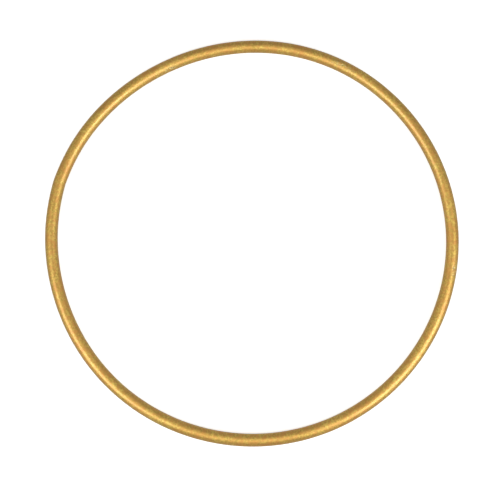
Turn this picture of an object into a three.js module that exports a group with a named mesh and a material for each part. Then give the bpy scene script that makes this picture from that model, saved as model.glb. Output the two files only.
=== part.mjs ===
// Wreath frame: a gold metal hoop, lying flat, that greenery and flowers are tied to.
//
// One length of thin round tube is rolled into a ring. Its two ends slide over a short bent
// rod, and a weld closes the opening between them and is ground flush. The rolls can't grip
// the last stretch of each end, so both ends keep a slightly larger radius, and they meet in
// a faint corner at the joint.
//
// Millimetres. The hoop lies on the plane z = 0 with +Z up. The origin is the centre of its
// true arc on that plane, and the joint is on the -X side.

import * as THREE from "three";

// Driving dimensions.
const HOOP_DIAMETER = 200; // over the outside of the tube, across the true arc
const TUBE_DIAMETER = 6;
const TUBE_WALL = 0.8;
const END_RADIUS = 101.7; // of the centre line in the two flatter ends
const END_ANGLE = 50; // degrees of the ring, from the joint to where each flatter end starts
const ROOT_OPENING = 1.6; // between the tube's two ends, filled by the weld
const WELD_GAP = 0.3; // left on every side of the weld's solid
const SPIGOT_LENGTH = 30;
const SPIGOT_PLAY = 0.2; // between the rod and the tube's bore, all round

// How finely round forms are divided.
const SECTION_SIDES = 16; // one side faces straight down, so the hoop rests on a true flat
const TUBE_STEPS = 121; // an odd number, so one step lies square across the +X side
const SPIGOT_STEPS = 8;
const WELD_STEPS = 2;

// Worked out from the driving dimensions.
const TUBE_RADIUS = TUBE_DIAMETER / 2;
const BORE_RADIUS = TUBE_RADIUS - TUBE_WALL;
const SPIGOT_RADIUS = BORE_RADIUS - SPIGOT_PLAY;
const ARC_RADIUS = HOOP_DIAMETER / 2 - TUBE_RADIUS; // of the centre line in the true arc

// The centre line of the closed hoop is three arcs. The true arc is centred on the Z axis.
// Each end's arc leaves it without a corner at END_ANGLE from the joint, so the end's centre
// lies on the line from there through the origin, as far out as the two radii differ.
const endAngle = THREE.MathUtils.degToRad(END_ANGLE);
const centreOffset = END_RADIUS - ARC_RADIUS;
const endCentreX = centreOffset * Math.cos(endAngle);
const endCentreY = centreOffset * Math.sin(endAngle);
const cornerAngle = Math.asin(endCentreY / END_RADIUS); // each end's lean at the joint
const endLength = END_RADIUS * (endAngle - cornerAngle);
const arcLength = ARC_RADIUS * 2 * (Math.PI - endAngle);
const hoopLength = arcLength + 2 * endLength;

// A stretch of the centre line, measured in millimetres from the joint. Distances grow
// from the joint through the -Y side, and a distance below 0 lies on the +Y side.
class HoopLine extends THREE.Curve {
  constructor(start, end) {
    super();
    this.start = start;
    this.end = end;
  }

  getPoint(t, target = new THREE.Vector3()) {
    const distance = THREE.MathUtils.lerp(this.start, this.end, t);
    const fromJoint = Math.min(Math.abs(distance), hoopLength - Math.abs(distance));
    const side = distance < 0 || distance > hoopLength / 2 ? 1 : -1;
    if (fromJoint > endLength) {
      const angle = endAngle + (fromJoint - endLength) / ARC_RADIUS;
      target.set(-ARC_RADIUS * Math.cos(angle), side * ARC_RADIUS * Math.sin(angle), TUBE_RADIUS);
    } else {
      const angle = cornerAngle + fromJoint / END_RADIUS;
      target.set(
        endCentreX - END_RADIUS * Math.cos(angle),
        side * (END_RADIUS * Math.sin(angle) - endCentreY),
        TUBE_RADIUS,
      );
    }
    return target;
  }
}

// A regular polygon's corners, with its sides at the given distance from the middle.
function roundOutline(radius) {
  const cornerRadius = radius / Math.cos(Math.PI / SECTION_SIDES);
  return Array.from({ length: SECTION_SIDES }, (_, corner) => {
    const angle = ((2 * corner + 1) * Math.PI) / SECTION_SIDES;
    return new THREE.Vector2(cornerRadius * Math.cos(angle), cornerRadius * Math.sin(angle));
  });
}

function roundSection(outerRadius, innerRadius = 0) {
  const section = new THREE.Shape(roundOutline(outerRadius));
  if (innerRadius > 0) section.holes.push(new THREE.Path(roundOutline(innerRadius)));
  return section;
}

function sweptAlongHoop(section, start, end, steps) {
  return new THREE.ExtrudeGeometry(section, { steps, extrudePath: new HoopLine(start, end) });
}

// The rolled tube: open at both ends, which face each other across the root opening.
function ringTube() {
  const section = roundSection(TUBE_RADIUS, BORE_RADIUS);
  const end = ROOT_OPENING / 2;
  const geometry = sweptAlongHoop(section, end, hoopLength - end, TUBE_STEPS);
  const goldFinish = new THREE.MeshStandardMaterial({
    color: 0xbe9440,
    roughness: 0.4,
    metalness: 0.9,
  });
  goldFinish.name = "gold_finish";
  const mesh = new THREE.Mesh(geometry, goldFinish);
  mesh.name = "ring_tube";
  return mesh;
}

// The rod inside both tube ends. It holds them in line while they are welded, and it
// carries the pull across the joint.
function jointSpigot() {
  const section = roundSection(SPIGOT_RADIUS);
  const reach = SPIGOT_LENGTH / 2;
  const geometry = sweptAlongHoop(section, -reach, reach, SPIGOT_STEPS);
  const bareSteel = new THREE.MeshStandardMaterial({
    color: 0x8d8c88,
    roughness: 0.35,
    metalness: 0.9,
  });
  bareSteel.name = "bare_steel";
  const mesh = new THREE.Mesh(geometry, bareSteel);
  mesh.name = "joint_spigot";
  return mesh;
}

// The butt weld: a collar round the rod, between the tube's ends, ground to the tube's size.
function weldBead() {
  const section = roundSection(TUBE_RADIUS, SPIGOT_RADIUS + WELD_GAP);
  const reach = ROOT_OPENING / 2 - WELD_GAP;
  const geometry = sweptAlongHoop(section, -reach, reach, WELD_STEPS);
  const goldWeld = new THREE.MeshStandardMaterial({
    color: 0xb58a3c,
    roughness: 0.45,
    metalness: 0.9,
  });
  goldWeld.name = "gold_weld";
  const mesh = new THREE.Mesh(geometry, goldWeld);
  mesh.name = "weld_bead";
  return mesh;
}

const wreathFrame = new THREE.Group();
wreathFrame.name = "wreath_frame";
wreathFrame.add(ringTube(), jointSpigot(), weldBead());

export default wreathFrame;
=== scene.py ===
# A gold metal hoop that a wreath is bound on, lying on a pale floor under soft light.
# Metres. The hoop lies flat with its axis on +Z, and the joint in its tube is on the -X side.

import math

import bpy
import numpy as np
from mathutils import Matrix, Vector, noise


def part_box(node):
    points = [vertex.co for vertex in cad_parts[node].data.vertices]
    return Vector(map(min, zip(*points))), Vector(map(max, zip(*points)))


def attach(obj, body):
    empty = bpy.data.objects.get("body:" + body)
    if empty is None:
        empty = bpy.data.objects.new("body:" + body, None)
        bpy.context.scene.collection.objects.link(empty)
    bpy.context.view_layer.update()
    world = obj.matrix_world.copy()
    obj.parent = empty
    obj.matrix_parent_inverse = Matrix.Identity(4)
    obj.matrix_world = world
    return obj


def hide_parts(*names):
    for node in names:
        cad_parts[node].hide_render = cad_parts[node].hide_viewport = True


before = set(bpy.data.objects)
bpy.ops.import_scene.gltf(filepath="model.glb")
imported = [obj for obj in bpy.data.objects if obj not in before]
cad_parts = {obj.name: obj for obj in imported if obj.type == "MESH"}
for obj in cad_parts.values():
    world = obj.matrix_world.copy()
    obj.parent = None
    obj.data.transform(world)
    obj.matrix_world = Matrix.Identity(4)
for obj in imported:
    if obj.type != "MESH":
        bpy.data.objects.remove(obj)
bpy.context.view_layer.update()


# --- The tube ---------------------------------------------------------------------------
# One length of thin steel tube, drawn round and rolled into a ring. The rolls leave both
# ends a little flat, and the ring a little out of true. It is sanded, sprayed with gold
# lacquer and handled, so the gold is grainy, with a few scuffs and shallow dents.

MM = 0.001

tube_low, tube_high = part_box("ring_tube")
TUBE_RADIUS = (tube_high.z - tube_low.z) / 2
WALL = 0.8 * MM
BORE_RADIUS = TUBE_RADIUS - WALL
ARC_RADIUS = tube_high.y - TUBE_RADIUS
END_FLATNESS = 4.7 * MM  # how much longer the radius is in the flatter ends
END_RADIUS = ARC_RADIUS + END_FLATNESS
END_ANGLE = math.radians(50)  # how much of the ring, from the joint, each flatter end takes
ROOT_OPENING = 1.6 * MM  # between the tube's ends, where the weld lies
HALF_ROOT = ROOT_OPENING / 2
LACQUER_THICKNESS = 0.08 * MM  # primer and gold together, over the bare tube
TUBE_SIDES = 60
OUTER_STEPS = 1400
BORE_STEPS = 140

CENTRE_OFFSET = END_RADIUS - ARC_RADIUS
END_CENTRE_X = CENTRE_OFFSET * math.cos(END_ANGLE)
END_CENTRE_Y = CENTRE_OFFSET * math.sin(END_ANGLE)
CORNER_ANGLE = math.asin(END_CENTRE_Y / END_RADIUS)
END_LENGTH = END_RADIUS * (END_ANGLE - CORNER_ANGLE)
HOOP_LENGTH = ARC_RADIUS * 2 * (math.pi - END_ANGLE) + 2 * END_LENGTH

# The ring's long, low waves: how many go round it, how high they are, and where the first
# crest lies, in degrees from +X. They die out beside the joint, which its rod keeps true.
OUT_OF_TRUE = [(2, 0.25 * MM, 45), (3, 0.17 * MM, 63), (4, 0.08 * MM, -9), (5, 0.07 * MM, 20)]
TRUE_BESIDE_JOINT = 22 * MM


def hoop_line(along):
    """Centre points and outward directions, in the hoop's plane, at distances from the joint."""
    short_way = np.minimum(np.abs(along), HOOP_LENGTH - np.abs(along))
    side = np.where((along < 0) | (along > HOOP_LENGTH / 2), 1.0, -1.0)
    in_end = short_way <= END_LENGTH
    turned = np.where(
        in_end,
        CORNER_ANGLE + short_way / END_RADIUS,
        END_ANGLE + (short_way - END_LENGTH) / ARC_RADIUS,
    )
    # Across the weld the direction turns evenly through the corner.
    at_root = CORNER_ANGLE + HALF_ROOT / END_RADIUS
    facing = np.where(short_way < HALF_ROOT, at_root * short_way / HALF_ROOT, turned)
    radius = np.where(in_end, END_RADIUS, ARC_RADIUS)
    x = np.where(in_end, END_CENTRE_X, 0.0) - radius * np.cos(turned)
    y = side * (radius * np.sin(turned) - np.where(in_end, END_CENTRE_Y, 0.0))
    round_ring = np.arctan2(y, x)
    wave = sum(
        height * np.cos(waves * (round_ring - math.radians(crest)))
        for waves, height, crest in OUT_OF_TRUE
    )
    wave = wave * (1 - np.exp(-((short_way / TRUE_BESIDE_JOINT) ** 2)))
    out_x, out_y = -np.cos(facing), side * np.sin(facing)
    return x + wave * out_x, y + wave * out_y, out_x, out_y


RIM_STEP = 0.02 * MM  # a first and last step this short keep the cut rims crisp


def steps_along(start, end, steps):
    """Distances from the joint, evenly spread, with a short step at each rim."""
    between = np.linspace(start, end, steps + 1)[1:-1]
    return np.concatenate([[start, start + RIM_STEP], between, [end - RIM_STEP, end]])


def rings(along, sides, radius_at):
    """Rings of points round the hoop's line, and where each point lies on the tube while it
    is still straight, so that a grain can run along the tube or round it."""
    # The first side lies level, on the tube's lowest line.
    turn = 2 * math.pi * (np.arange(sides) - 0.5) / sides - math.pi / 2
    distance, turn = np.meshgrid(along, turn, indexing="ij")
    across, up = np.cos(turn), np.sin(turn)
    centre_x, centre_y, out_x, out_y = hoop_line(distance)
    radius = radius_at(across, up, distance)
    points = np.stack(
        [
            centre_x + out_x * radius * across,
            centre_y + out_y * radius * across,
            TUBE_RADIUS + radius * up,
        ],
        axis=-1,
    )
    straight = np.stack([radius * across, radius * up, distance], axis=-1)
    return points.reshape(-1, 3), straight.reshape(-1, 3)


def ring_wall(first_point, ring_count, sides, outward):
    """The faces between rings that follow each other, facing away from the line or to it."""
    ring_start = first_point + np.arange(ring_count - 1)[:, None] * sides
    near = ring_start + np.arange(sides)
    near_next = ring_start + (np.arange(sides) + 1) % sides
    quads = np.stack([near, near + sides, near_next + sides, near_next], axis=-1).reshape(-1, 4)
    return quads if outward else quads[:, ::-1]


def new_piece(name, points, straight, walls, flat_ends):
    """An object with smooth walls and flat ends, which knows where it lies on the tube."""
    mesh = bpy.data.meshes.new(name)
    mesh.from_pydata(points.tolist(), [], walls + flat_ends)
    smooth = np.arange(len(mesh.polygons)) < len(walls)
    mesh.polygons.foreach_set("use_smooth", smooth)
    place = mesh.attributes.new("straight_tube", "FLOAT_VECTOR", "POINT")
    place.data.foreach_set("vector", straight.astype(np.float32).ravel())
    mesh.update()
    piece = bpy.data.objects.new(name, mesh)
    bpy.context.scene.collection.objects.link(piece)
    return piece


def pipe(name, start, end, outer_steps, bore_steps, sides, outer_radius, bore_radius):
    """A length of pipe along the hoop, open through its bore and cut square at both ends."""
    outside = steps_along(start, end, outer_steps)
    inside = steps_along(start, end, bore_steps)
    outer_points, outer_straight = rings(outside, sides, outer_radius)
    bore_points, bore_straight = rings(inside, sides, bore_radius)
    walls = ring_wall(0, len(outside), sides, True).tolist()
    walls += ring_wall(len(outer_points), len(inside), sides, False).tolist()
    around = np.arange(sides)
    following = (around + 1) % sides
    ends = []
    for outer, bore, at_start in (
        (0, len(outer_points), True),
        (len(outer_points) - sides, len(outer_points) + len(bore_points) - sides, False),
    ):
        quads = np.stack(
            [outer + around, outer + following, bore + following, bore + around], axis=-1
        )
        ends += (quads if at_start else quads[:, ::-1]).tolist()
    points = np.concatenate([outer_points, bore_points])
    straight = np.concatenate([outer_straight, bore_straight])
    return new_piece(name, points, straight, walls, ends)


def lumps(x, y, z, size, seed):
    """Smooth lumps of that size, from -1 to 1, at points on the straight tube."""
    scale = 1 / size
    flat = zip(x.ravel() * scale, y.ravel() * scale, z.ravel() * scale + seed)
    return np.array([noise.noise(point) for point in flat]).reshape(x.shape)


def relief(radius, across, up, distance, marks):
    """Adds up marks in a round face, each given by its height, its size round the tube, how
    many times longer it is along the tube, and a seed."""
    return sum(
        height * lumps(radius * across, radius * up, distance / longer, size, seed)
        for height, size, longer, seed in marks
    )


SKIN_MARKS = [
    (0.012 * MM, 4.2 * MM, 2.5, 83),  # left by the rolls
    (0.012 * MM, 2.2 * MM, 1, 11),  # waves in the lacquer
    (0.010 * MM, 1.1 * MM, 1, 47),  # orange peel
]
DRAWING_MARKS = [(0.01 * MM, 1 * MM, 12, 5)]
SMOOTH_BESIDE_WELD = 2 * MM


# Knocks and rubs: how far round the ring from the joint, in degrees, how far round the tube
# from its outer side, in degrees, half the length along the tube, and the depth of the dent.
DENTS = [
    (187.5, 60, 4.5 * MM, 0.05 * MM),
    (259, 98, 6 * MM, 0.06 * MM),
    (118, 20, 3.5 * MM, 0.05 * MM),
    (312, 140, 4 * MM, 0.04 * MM),
    (66, -30, 5 * MM, 0.05 * MM),
]
HALF_DENT_WIDTH = math.radians(32)


def dented(across, up, distance, round_ring, round_tube, half_length):
    """1 in the middle of a dent, falling smoothly to 0 at its rim."""
    middle = HOOP_LENGTH * round_ring / 360
    facing = math.radians(round_tube)
    off_facing = np.arccos(np.clip(across * math.cos(facing) + up * math.sin(facing), -1, 1))
    from_middle = np.hypot((distance - middle) / half_length, off_facing / HALF_DENT_WIDTH)
    return np.clip(1 - from_middle**2, 0, 1) ** 2


def tube_outside(across, up, distance):
    """The tube's radius, with roll marks, orange peel in the lacquer, and dents."""
    skin = relief(TUBE_RADIUS, across, up, distance, SKIN_MARKS)
    for round_ring, round_tube, half_length, depth in DENTS:
        skin = skin - depth * dented(across, up, distance, round_ring, round_tube, half_length)
    from_end = np.minimum(distance, HOOP_LENGTH - distance) - HALF_ROOT
    return TUBE_RADIUS + LACQUER_THICKNESS + skin * np.clip(from_end / SMOOTH_BESIDE_WELD, 0, 1)


def tube_bore(across, up, distance):
    """The bore's radius, with the drawing marks that run along it."""
    return BORE_RADIUS + relief(BORE_RADIUS, across, up, distance, DRAWING_MARKS)


hoop_tube = pipe(
    "hoop_tube",
    HALF_ROOT,
    HOOP_LENGTH - HALF_ROOT,
    OUTER_STEPS,
    BORE_STEPS,
    TUBE_SIDES,
    tube_outside,
    tube_bore,
)

SCUFF_REACH = 1.6  # how many times longer the scuff round a dent is than the dent
SANDED_LENGTH = 9 * MM  # to each side of the joint


def mark_wear(piece, places):
    """Notes how worn each point is: scuffed near the given places, sanded near the joint."""
    mesh = piece.data
    straight = np.empty(len(mesh.vertices) * 3, np.float32)
    mesh.attributes["straight_tube"].data.foreach_get("vector", straight)
    x, y, distance = straight.reshape(-1, 3).T.astype(float)
    radius = np.hypot(x, y)
    scuffed = np.zeros(len(x))
    for round_ring, round_tube, half_length, _ in places:
        reach = SCUFF_REACH * half_length
        place = dented(x / radius, y / radius, distance, round_ring, round_tube, reach)
        scuffed = np.maximum(scuffed, place)
    from_joint = np.minimum(np.abs(distance), np.abs(HOOP_LENGTH - distance))
    sanded = np.clip(1 - from_joint / SANDED_LENGTH, 0, 1)
    for name, value in (("scuffed", scuffed), ("sanded", sanded)):
        layer = mesh.attributes.new(name, "FLOAT", "POINT")
        layer.data.foreach_set("value", value.astype(np.float32))


mark_wear(hoop_tube, DENTS)


def new_material(name):
    material = bpy.data.materials.new(name)
    material.use_nodes = True
    return material


class NodeSheet:
    """Short names for the few kinds of node that the patterns here are made of."""

    def __init__(self, tree):
        self.nodes, self.links = tree.nodes, tree.links

    def feed(self, socket, value):
        if isinstance(value, bpy.types.NodeSocket):
            self.links.new(value, socket)
        else:
            socket.default_value = value

    def cloud(self, place, size, stretch=(1, 1, 1), detail=2, turned=(0, 0, 0)):
        """Soft random patches of that size, from 0 to 1."""
        mapping = self.nodes.new("ShaderNodeMapping")
        mapping.inputs["Rotation"].default_value = turned
        mapping.inputs["Scale"].default_value = [1 / (size * part) for part in stretch]
        self.links.new(place, mapping.inputs["Vector"])
        pattern = self.nodes.new("ShaderNodeTexNoise")
        pattern.inputs["Scale"].default_value = 1
        pattern.inputs["Detail"].default_value = detail
        self.links.new(mapping.outputs["Vector"], pattern.inputs["Vector"])
        return pattern.outputs["Fac"]

    def ranged(self, value, low, high, out_low=0.0, out_high=1.0):
        """Passes smoothly from out_low to out_high as the value goes from low to high."""
        span = self.nodes.new("ShaderNodeMapRange")
        span.interpolation_type = "SMOOTHSTEP"
        for name, number in zip(
            ("From Min", "From Max", "To Min", "To Max"), (low, high, out_low, out_high)
        ):
            span.inputs[name].default_value = number
        self.links.new(value, span.inputs["Value"])
        return span.outputs["Result"]

    def sum(self, *parts):
        """Adds up (value, weight) pairs."""
        total = 0.0
        for value, weight in parts:
            step = self.nodes.new("ShaderNodeMath")
            step.operation = "MULTIPLY_ADD"
            self.feed(step.inputs[0], value)
            self.feed(step.inputs[1], weight)
            self.feed(step.inputs[2], total)
            total = step.outputs["Value"]
        return total

    def times(self, first, second):
        step = self.nodes.new("ShaderNodeMath")
        step.operation = "MULTIPLY"
        self.feed(step.inputs[0], first)
        self.feed(step.inputs[1], second)
        return step.outputs["Value"]

    def blended(self, factor, first, second):
        blend = self.nodes.new("ShaderNodeMix")
        blend.data_type = "RGBA"
        self.feed(blend.inputs["Factor"], factor)
        self.feed(blend.inputs["A"], first)
        self.feed(blend.inputs["B"], second)
        return blend.outputs["Result"]


LIGHT_GOLD = (1.00, 0.739, 0.181)
DEEP_GOLD = (0.69, 0.43, 0.078)
BROWN_GOLD = (0.86, 0.444, 0.105)
WORN_GOLD = (1.0, 0.80, 0.36)
SCUFF_SLANT = (0.5, 0.35, 0)
SANDING_SLANT = (0.12, 0.2, 0)
DULLNESS_VARIES = 0.12


def lacquer_group():
    """Gold lacquer over sanded steel tube: how its colour, dullness and fine relief vary."""
    group = bpy.data.node_groups.new("gold_lacquer", "ShaderNodeTree")
    for name, kind in (
        ("Place", "Vector"),
        ("Light Gold", "Color"),
        ("Deep Gold", "Color"),
        ("Brown Gold", "Color"),
        ("Dullness", "Float"),
        ("Scuffed", "Float"),
        ("Sanded", "Float"),
    ):
        group.interface.new_socket(name, in_out="INPUT", socket_type="NodeSocket" + kind)
    for name, kind in (("Gold", "Color"), ("Dullness", "Float"), ("Grain", "Float")):
        group.interface.new_socket(name, in_out="OUTPUT", socket_type="NodeSocket" + kind)
    sheet = NodeSheet(group)
    given = group.nodes.new("NodeGroupInput").outputs
    result = group.nodes.new("NodeGroupOutput").inputs
    place = given["Place"]

    spray = sheet.cloud(place, 16 * MM, stretch=(1, 1, 1.6))
    mottle = sheet.cloud(place, 4.5 * MM, stretch=(1, 1, 1.4), detail=3)
    flakes = sheet.cloud(place, 0.85 * MM, detail=4)
    brown_clouds = sheet.cloud(place, 7 * MM, stretch=(1, 1, 1.3))
    brown_specks = sheet.cloud(place, 1.6 * MM, stretch=(1, 1, 1.2), detail=3)
    round_lines = sheet.cloud(place, 2.4 * MM, stretch=(1, 1, 0.14), detail=3)
    long_lines = sheet.cloud(place, 0.5 * MM, stretch=(1, 1, 14))
    sanding = sheet.cloud(place, 2.0 * MM, stretch=(1, 1, 0.05), turned=SANDING_SLANT)
    scratches = sheet.cloud(place, 0.28 * MM, stretch=(1, 1, 9), turned=SCUFF_SLANT)
    nicks = sheet.cloud(place, 0.9 * MM, stretch=(1, 1, 1.7), turned=SCUFF_SLANT)

    # Where the hoop was knocked, only the strongest scratches and nicks show.
    scuffs = sheet.times(sheet.ranged(scratches, 0.56, 0.62), given["Scuffed"])
    chips = sheet.times(sheet.ranged(nicks, 0.5, 0.66), given["Scuffed"])
    worn = sheet.sum((scuffs, 0.6), (chips, 0.7))

    light = sheet.sum(
        (sheet.ranged(spray, 0.3, 0.7), 0.12),
        (sheet.ranged(mottle, 0.3, 0.7), 0.2),
        (sheet.ranged(flakes, 0.4, 0.6), 0.68),
    )
    warm = sheet.sum(
        (sheet.ranged(brown_clouds, 0.4, 0.68), 0.35),
        (sheet.ranged(brown_specks, 0.4, 0.62), 0.6),
    )
    gold = sheet.blended(light, given["Deep Gold"], given["Light Gold"])
    gold = sheet.blended(warm, gold, given["Brown Gold"])
    gold = sheet.blended(worn, gold, (*WORN_GOLD, 1))
    sheet.feed(result["Gold"], gold)

    # Spray and flakes lie round a half, so their mean is taken off again.
    dullness = sheet.sum(
        (given["Dullness"], 1.0),
        (spray, DULLNESS_VARIES),
        (flakes, DULLNESS_VARIES),
        (worn, -0.25),
        (0.5, -2 * DULLNESS_VARIES),
    )
    sheet.feed(result["Dullness"], dullness)

    grain = sheet.sum(
        (flakes, 0.7),
        (round_lines, 0.2),
        (long_lines, 0.1),
        (scuffs, -0.2),
        (chips, -0.9),
        (sheet.times(sanding, given["Sanded"]), 0.08),
    )
    sheet.feed(result["Grain"], grain)
    return group


GOLD_LACQUER = lacquer_group()
LACQUER_DULLNESS = 0.556
GRAIN_DEPTH = 0.12 * MM


def gold_material(name, dullness, grain_depth):
    """Metallic gold under a clear coat, with the lacquer's own colour, dullness and grain."""
    material = new_material(name)
    sheet = NodeSheet(material.node_tree)
    shader = sheet.nodes["Principled BSDF"]
    shader.inputs["Metallic"].default_value = 1.0
    shader.inputs["Coat Weight"].default_value = 1.0
    shader.inputs["Coat Roughness"].default_value = 0.3
    lacquer = sheet.nodes.new("ShaderNodeGroup")
    lacquer.node_tree = GOLD_LACQUER
    for layer, output, socket in (
        ("straight_tube", "Vector", "Place"),
        ("scuffed", "Fac", "Scuffed"),
        ("sanded", "Fac", "Sanded"),
    ):
        marked = sheet.nodes.new("ShaderNodeAttribute")
        marked.attribute_name = layer
        sheet.links.new(marked.outputs[output], lacquer.inputs[socket])
    for socket, gold in (
        ("Light Gold", LIGHT_GOLD), ("Deep Gold", DEEP_GOLD), ("Brown Gold", BROWN_GOLD)
    ):
        lacquer.inputs[socket].default_value = (*gold, 1)
    lacquer.inputs["Dullness"].default_value = dullness
    bump = sheet.nodes.new("ShaderNodeBump")
    bump.inputs["Strength"].default_value = 1.0
    bump.inputs["Distance"].default_value = grain_depth
    sheet.links.new(lacquer.outputs["Grain"], bump.inputs["Height"])
    sheet.links.new(lacquer.outputs["Gold"], shader.inputs["Base Color"])
    sheet.links.new(lacquer.outputs["Dullness"], shader.inputs["Roughness"])
    sheet.links.new(bump.outputs["Normal"], shader.inputs["Normal"])
    return material


hoop_tube.data.materials.append(gold_material("tube_gold", LACQUER_DULLNESS, GRAIN_DEPTH))
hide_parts("ring_tube")
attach(hoop_tube, "root")


# --- The weld ---------------------------------------------------------------------------
# The butt weld between the tube's ends, ground down to the tube's own size and sprayed
# with it. Only the finer sanding marks and a faint hollow tell where it is.

WELD_BORE_RADIUS = BORE_RADIUS + 0.1 * MM
WELD_HOLLOW = 0.008 * MM
WELD_OUTER_STEPS = 16
WELD_BORE_STEPS = 12
WELD_RIPPLES = [(0.05 * MM, 0.9 * MM, 1, 29)]


def weld_outside(across, up, distance):
    """The weld's radius: the grinding leaves it a hair below the tube."""
    hollow = WELD_HOLLOW * np.cos(math.pi * distance / ROOT_OPENING) ** 2
    return TUBE_RADIUS + LACQUER_THICKNESS - hollow


def weld_root(across, up, distance):
    """The radius of its inner face, which is rippled as it froze."""
    return WELD_BORE_RADIUS + relief(WELD_BORE_RADIUS, across, up, distance, WELD_RIPPLES)


ground_weld = pipe(
    "ground_weld",
    -HALF_ROOT,
    HALF_ROOT,
    WELD_OUTER_STEPS,
    WELD_BORE_STEPS,
    TUBE_SIDES,
    weld_outside,
    weld_root,
)
mark_wear(ground_weld, [])
ground_weld.data.materials.append(gold_material("weld_gold", LACQUER_DULLNESS, GRAIN_DEPTH))
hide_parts("weld_bead")
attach(ground_weld, "root")


# --- The rod in the joint ---------------------------------------------------------------
# A short length of drawn steel rod, bent to the ring and pushed half into each tube end
# before welding. It stays bare, with the fine lines of drawing and chamfered ends.

rod_low, rod_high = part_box("joint_spigot")
ROD_RADIUS = (rod_high.z - rod_low.z) / 2
ROD_HALF_LENGTH = 15 * MM
ROD_CHAMFER = 0.4 * MM
ROD_SIDES = 48
ROD_STEPS = 60
DARK_STEEL = (0.33, 0.32, 0.31)
BRIGHT_STEEL = (0.62, 0.61, 0.59)
STAINED_STEEL = (0.26, 0.17, 0.11)
DRAWN_LINE_DEPTH = 0.01 * MM


def rod_radius(across, up, distance):
    """The rod's radius, less at the chamfer of each end."""
    from_end = ROD_HALF_LENGTH - np.abs(distance)
    return ROD_RADIUS - np.clip(ROD_CHAMFER - from_end, 0, ROD_CHAMFER)


chamfered = ROD_HALF_LENGTH - ROD_CHAMFER
rod_steps = np.concatenate(
    [[-ROD_HALF_LENGTH], np.linspace(-chamfered, chamfered, ROD_STEPS + 1), [ROD_HALF_LENGTH]]
)
rod_points, rod_straight = rings(rod_steps, ROD_SIDES, rod_radius)
rod_wall = ring_wall(0, len(rod_steps), ROD_SIDES, True).tolist()
first_end = list(range(ROD_SIDES))
last_end = [len(rod_points) - 1 - point for point in range(ROD_SIDES)]
joint_rod = new_piece("joint_rod", rod_points, rod_straight, rod_wall, [first_end, last_end])

bare_steel = new_material("bare_steel")
sheet = NodeSheet(bare_steel.node_tree)
shader = sheet.nodes["Principled BSDF"]
shader.inputs["Metallic"].default_value = 1.0
marked = sheet.nodes.new("ShaderNodeAttribute")
marked.attribute_name = "straight_tube"
place = marked.outputs["Vector"]
drawn_lines = sheet.cloud(place, 0.25 * MM, stretch=(1, 1, 30), detail=3)
stain = sheet.ranged(sheet.cloud(place, 3 * MM, stretch=(1, 1, 1.5), detail=4), 0.5, 0.75)
steel = sheet.blended(drawn_lines, (*DARK_STEEL, 1), (*BRIGHT_STEEL, 1))
steel = sheet.blended(stain, steel, (*STAINED_STEEL, 1))
sheet.feed(shader.inputs["Base Color"], steel)
sheet.feed(shader.inputs["Roughness"], sheet.sum((drawn_lines, 0.2), (stain, 0.3), (0.22, 1.0)))
bump = sheet.nodes.new("ShaderNodeBump")
bump.inputs["Distance"].default_value = DRAWN_LINE_DEPTH
sheet.feed(bump.inputs["Height"], drawn_lines)
sheet.feed(shader.inputs["Normal"], bump.outputs["Normal"])
joint_rod.data.materials.append(bare_steel)
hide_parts("joint_spigot")
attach(joint_rod, "root")


# --- Floor, light and camera ------------------------------------------------------------
# A white sweep of paper under the hoop, two soft boxes with grids low on the near side, left
# and right, and a pale room that is brighter below than overhead.

CAMERA_TURN = math.radians(16.3)
CAMERA_ELEVATION = math.radians(81.0)
CAMERA_DISTANCE = 0.6
AIM = (-1.34 * MM, -2.55 * MM)  # to the camera's right and away from it, from the hoop's axis
SENSOR_WIDTH = 36.0
LENS = 88.9


def studio(right, away, up):
    """A place given from where the camera's operator stands."""
    sine, cosine = math.sin(CAMERA_TURN), math.cos(CAMERA_TURN)
    return Vector((right * cosine - away * sine, right * sine + away * cosine, up))


aim = studio(AIM[0], AIM[1], TUBE_RADIUS)
back = studio(0, -math.cos(CAMERA_ELEVATION), math.sin(CAMERA_ELEVATION))
camera = bpy.data.objects.new("camera", bpy.data.cameras.new("camera"))
camera.data.lens = LENS
camera.data.sensor_width = SENSOR_WIDTH
camera.data.clip_start = 0.01
camera.location = aim + back * CAMERA_DISTANCE
camera.rotation_mode = "QUATERNION"
camera.rotation_quaternion = (-back).to_track_quat("-Z", "Y")
bpy.context.scene.collection.objects.link(camera)
bpy.context.scene.camera = camera

FLOOR_REACH = 10.0
FLOOR_LEVEL = -0.1 * MM  # just under the lacquer
PAPER_WHITE = (0.9, 0.9, 0.9)
# The sweep glows a little, as if lit from below: less round the hoop than farther out.
GLOW_NEAR, GLOW_FAR = 0.6, 0.8
NEAR_HOOP, FAR_OUT = 0.12, 1.2

floor_mesh = bpy.data.meshes.new("floor")
corners = [
    (-FLOOR_REACH, -FLOOR_REACH, FLOOR_LEVEL),
    (FLOOR_REACH, -FLOOR_REACH, FLOOR_LEVEL),
    (FLOOR_REACH, FLOOR_REACH, FLOOR_LEVEL),
    (-FLOOR_REACH, FLOOR_REACH, FLOOR_LEVEL),
]
floor_mesh.from_pydata(corners, [], [(0, 1, 2, 3)])
floor = bpy.data.objects.new("floor", floor_mesh)
bpy.context.scene.collection.objects.link(floor)
paper = new_material("white_paper")
sheet = NodeSheet(paper.node_tree)
shader = sheet.nodes["Principled BSDF"]
shader.inputs["Base Color"].default_value = (*PAPER_WHITE, 1)
shader.inputs["Roughness"].default_value = 0.9
shader.inputs["Emission Color"].default_value = (1, 1, 1, 1)
from_hoop = sheet.nodes.new("ShaderNodeVectorMath")
from_hoop.operation = "LENGTH"
sheet.feed(from_hoop.inputs[0], sheet.nodes.new("ShaderNodeTexCoord").outputs["Object"])
glow = sheet.ranged(from_hoop.outputs["Value"], NEAR_HOOP, FAR_OUT, GLOW_NEAR, GLOW_FAR)
sheet.feed(shader.inputs["Emission Strength"], glow)
floor.data.materials.append(paper)
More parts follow.
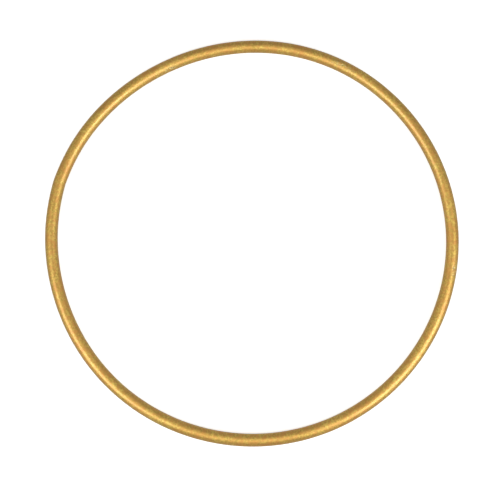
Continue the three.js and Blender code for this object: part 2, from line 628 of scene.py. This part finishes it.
floor.visible_glossy = False


LIGHT_DISTANCE = 0.63
LIGHT_WIDTH = 0.38
GRID_SPREAD = math.radians(100)
AIMED_BEYOND = 0.1  # how far past the hoop's axis the lights are aimed


def soft_box(name, from_left, off_upright, power):
    """A square light behind a grid, aimed at the far side of the hoop: how far round it stands
    from the camera operator's left hand, and how far it leans from overhead, in degrees."""
    round_by = math.radians(from_left)
    lean = math.radians(off_upright)
    direction = studio(
        -math.cos(round_by) * math.sin(lean), -math.sin(round_by) * math.sin(lean), math.cos(lean)
    )
    light = bpy.data.lights.new(name, "AREA")
    light.shape = "SQUARE"
    light.size = LIGHT_WIDTH
    light.spread = GRID_SPREAD
    light.energy = power
    box = bpy.data.objects.new(name, light)
    box.location = direction * LIGHT_DISTANCE
    far_side = Vector((-direction.x, -direction.y, 0)).normalized() * AIMED_BEYOND
    box.rotation_mode = "QUATERNION"
    box.rotation_quaternion = (far_side - box.location).to_track_quat("-Z", "Y")
    box.visible_camera = False
    bpy.context.scene.collection.objects.link(box)


soft_box("left_soft_box", from_left=30.8, off_upright=40.0, power=0.565)
soft_box("right_soft_box", from_left=149.0, off_upright=42.6, power=0.69)

# How bright the room is, from straight below (0) to straight overhead (1).
ROOM_ZONES = ((0.1, 0.474), (0.4, 0.397), (0.6, 0.285), (0.85, 0.263), (1.0, 0.244))

world = bpy.data.worlds.new("studio")
world.use_nodes = True
bpy.context.scene.world = world
sheet = NodeSheet(world.node_tree)
direction = sheet.nodes.new("ShaderNodeTexCoord")
upward = sheet.nodes.new("ShaderNodeSeparateXYZ")
sheet.feed(upward.inputs["Vector"], direction.outputs["Generated"])
height = sheet.nodes.new("ShaderNodeMapRange")
height.inputs["From Min"].default_value = -1
sheet.feed(height.inputs["Value"], upward.outputs["Z"])
zones = sheet.nodes.new("ShaderNodeValToRGB")
while len(zones.color_ramp.elements) < len(ROOM_ZONES):
    zones.color_ramp.elements.new(0.5)
for stop, (position, level) in zip(zones.color_ramp.elements, ROOM_ZONES):
    stop.position = position
    stop.color = (level, level, level, 1)
sheet.feed(zones.inputs["Fac"], height.outputs["Result"])
room = sheet.nodes["Background"]
room.inputs["Color"].default_value = (1, 1, 1, 1)
sheet.feed(room.inputs["Strength"], zones.outputs["Color"])
# The camera itself sees plain white beyond the floor.
backdrop = sheet.nodes.new("ShaderNodeBackground")
backdrop.inputs["Color"].default_value = (1, 1, 1, 1)
backdrop.inputs["Strength"].default_value = 1.0
path = sheet.nodes.new("ShaderNodeLightPath")
either = sheet.nodes.new("ShaderNodeMixShader")
sheet.feed(either.inputs["Fac"], path.outputs["Is Camera Ray"])
sheet.feed(either.inputs[1], room.outputs["Background"])
sheet.feed(either.inputs[2], backdrop.outputs["Background"])
sheet.feed(sheet.nodes["World Output"].inputs["Surface"], either.outputs["Shader"])

bpy.context.scene.view_settings.view_transform = "Standard"
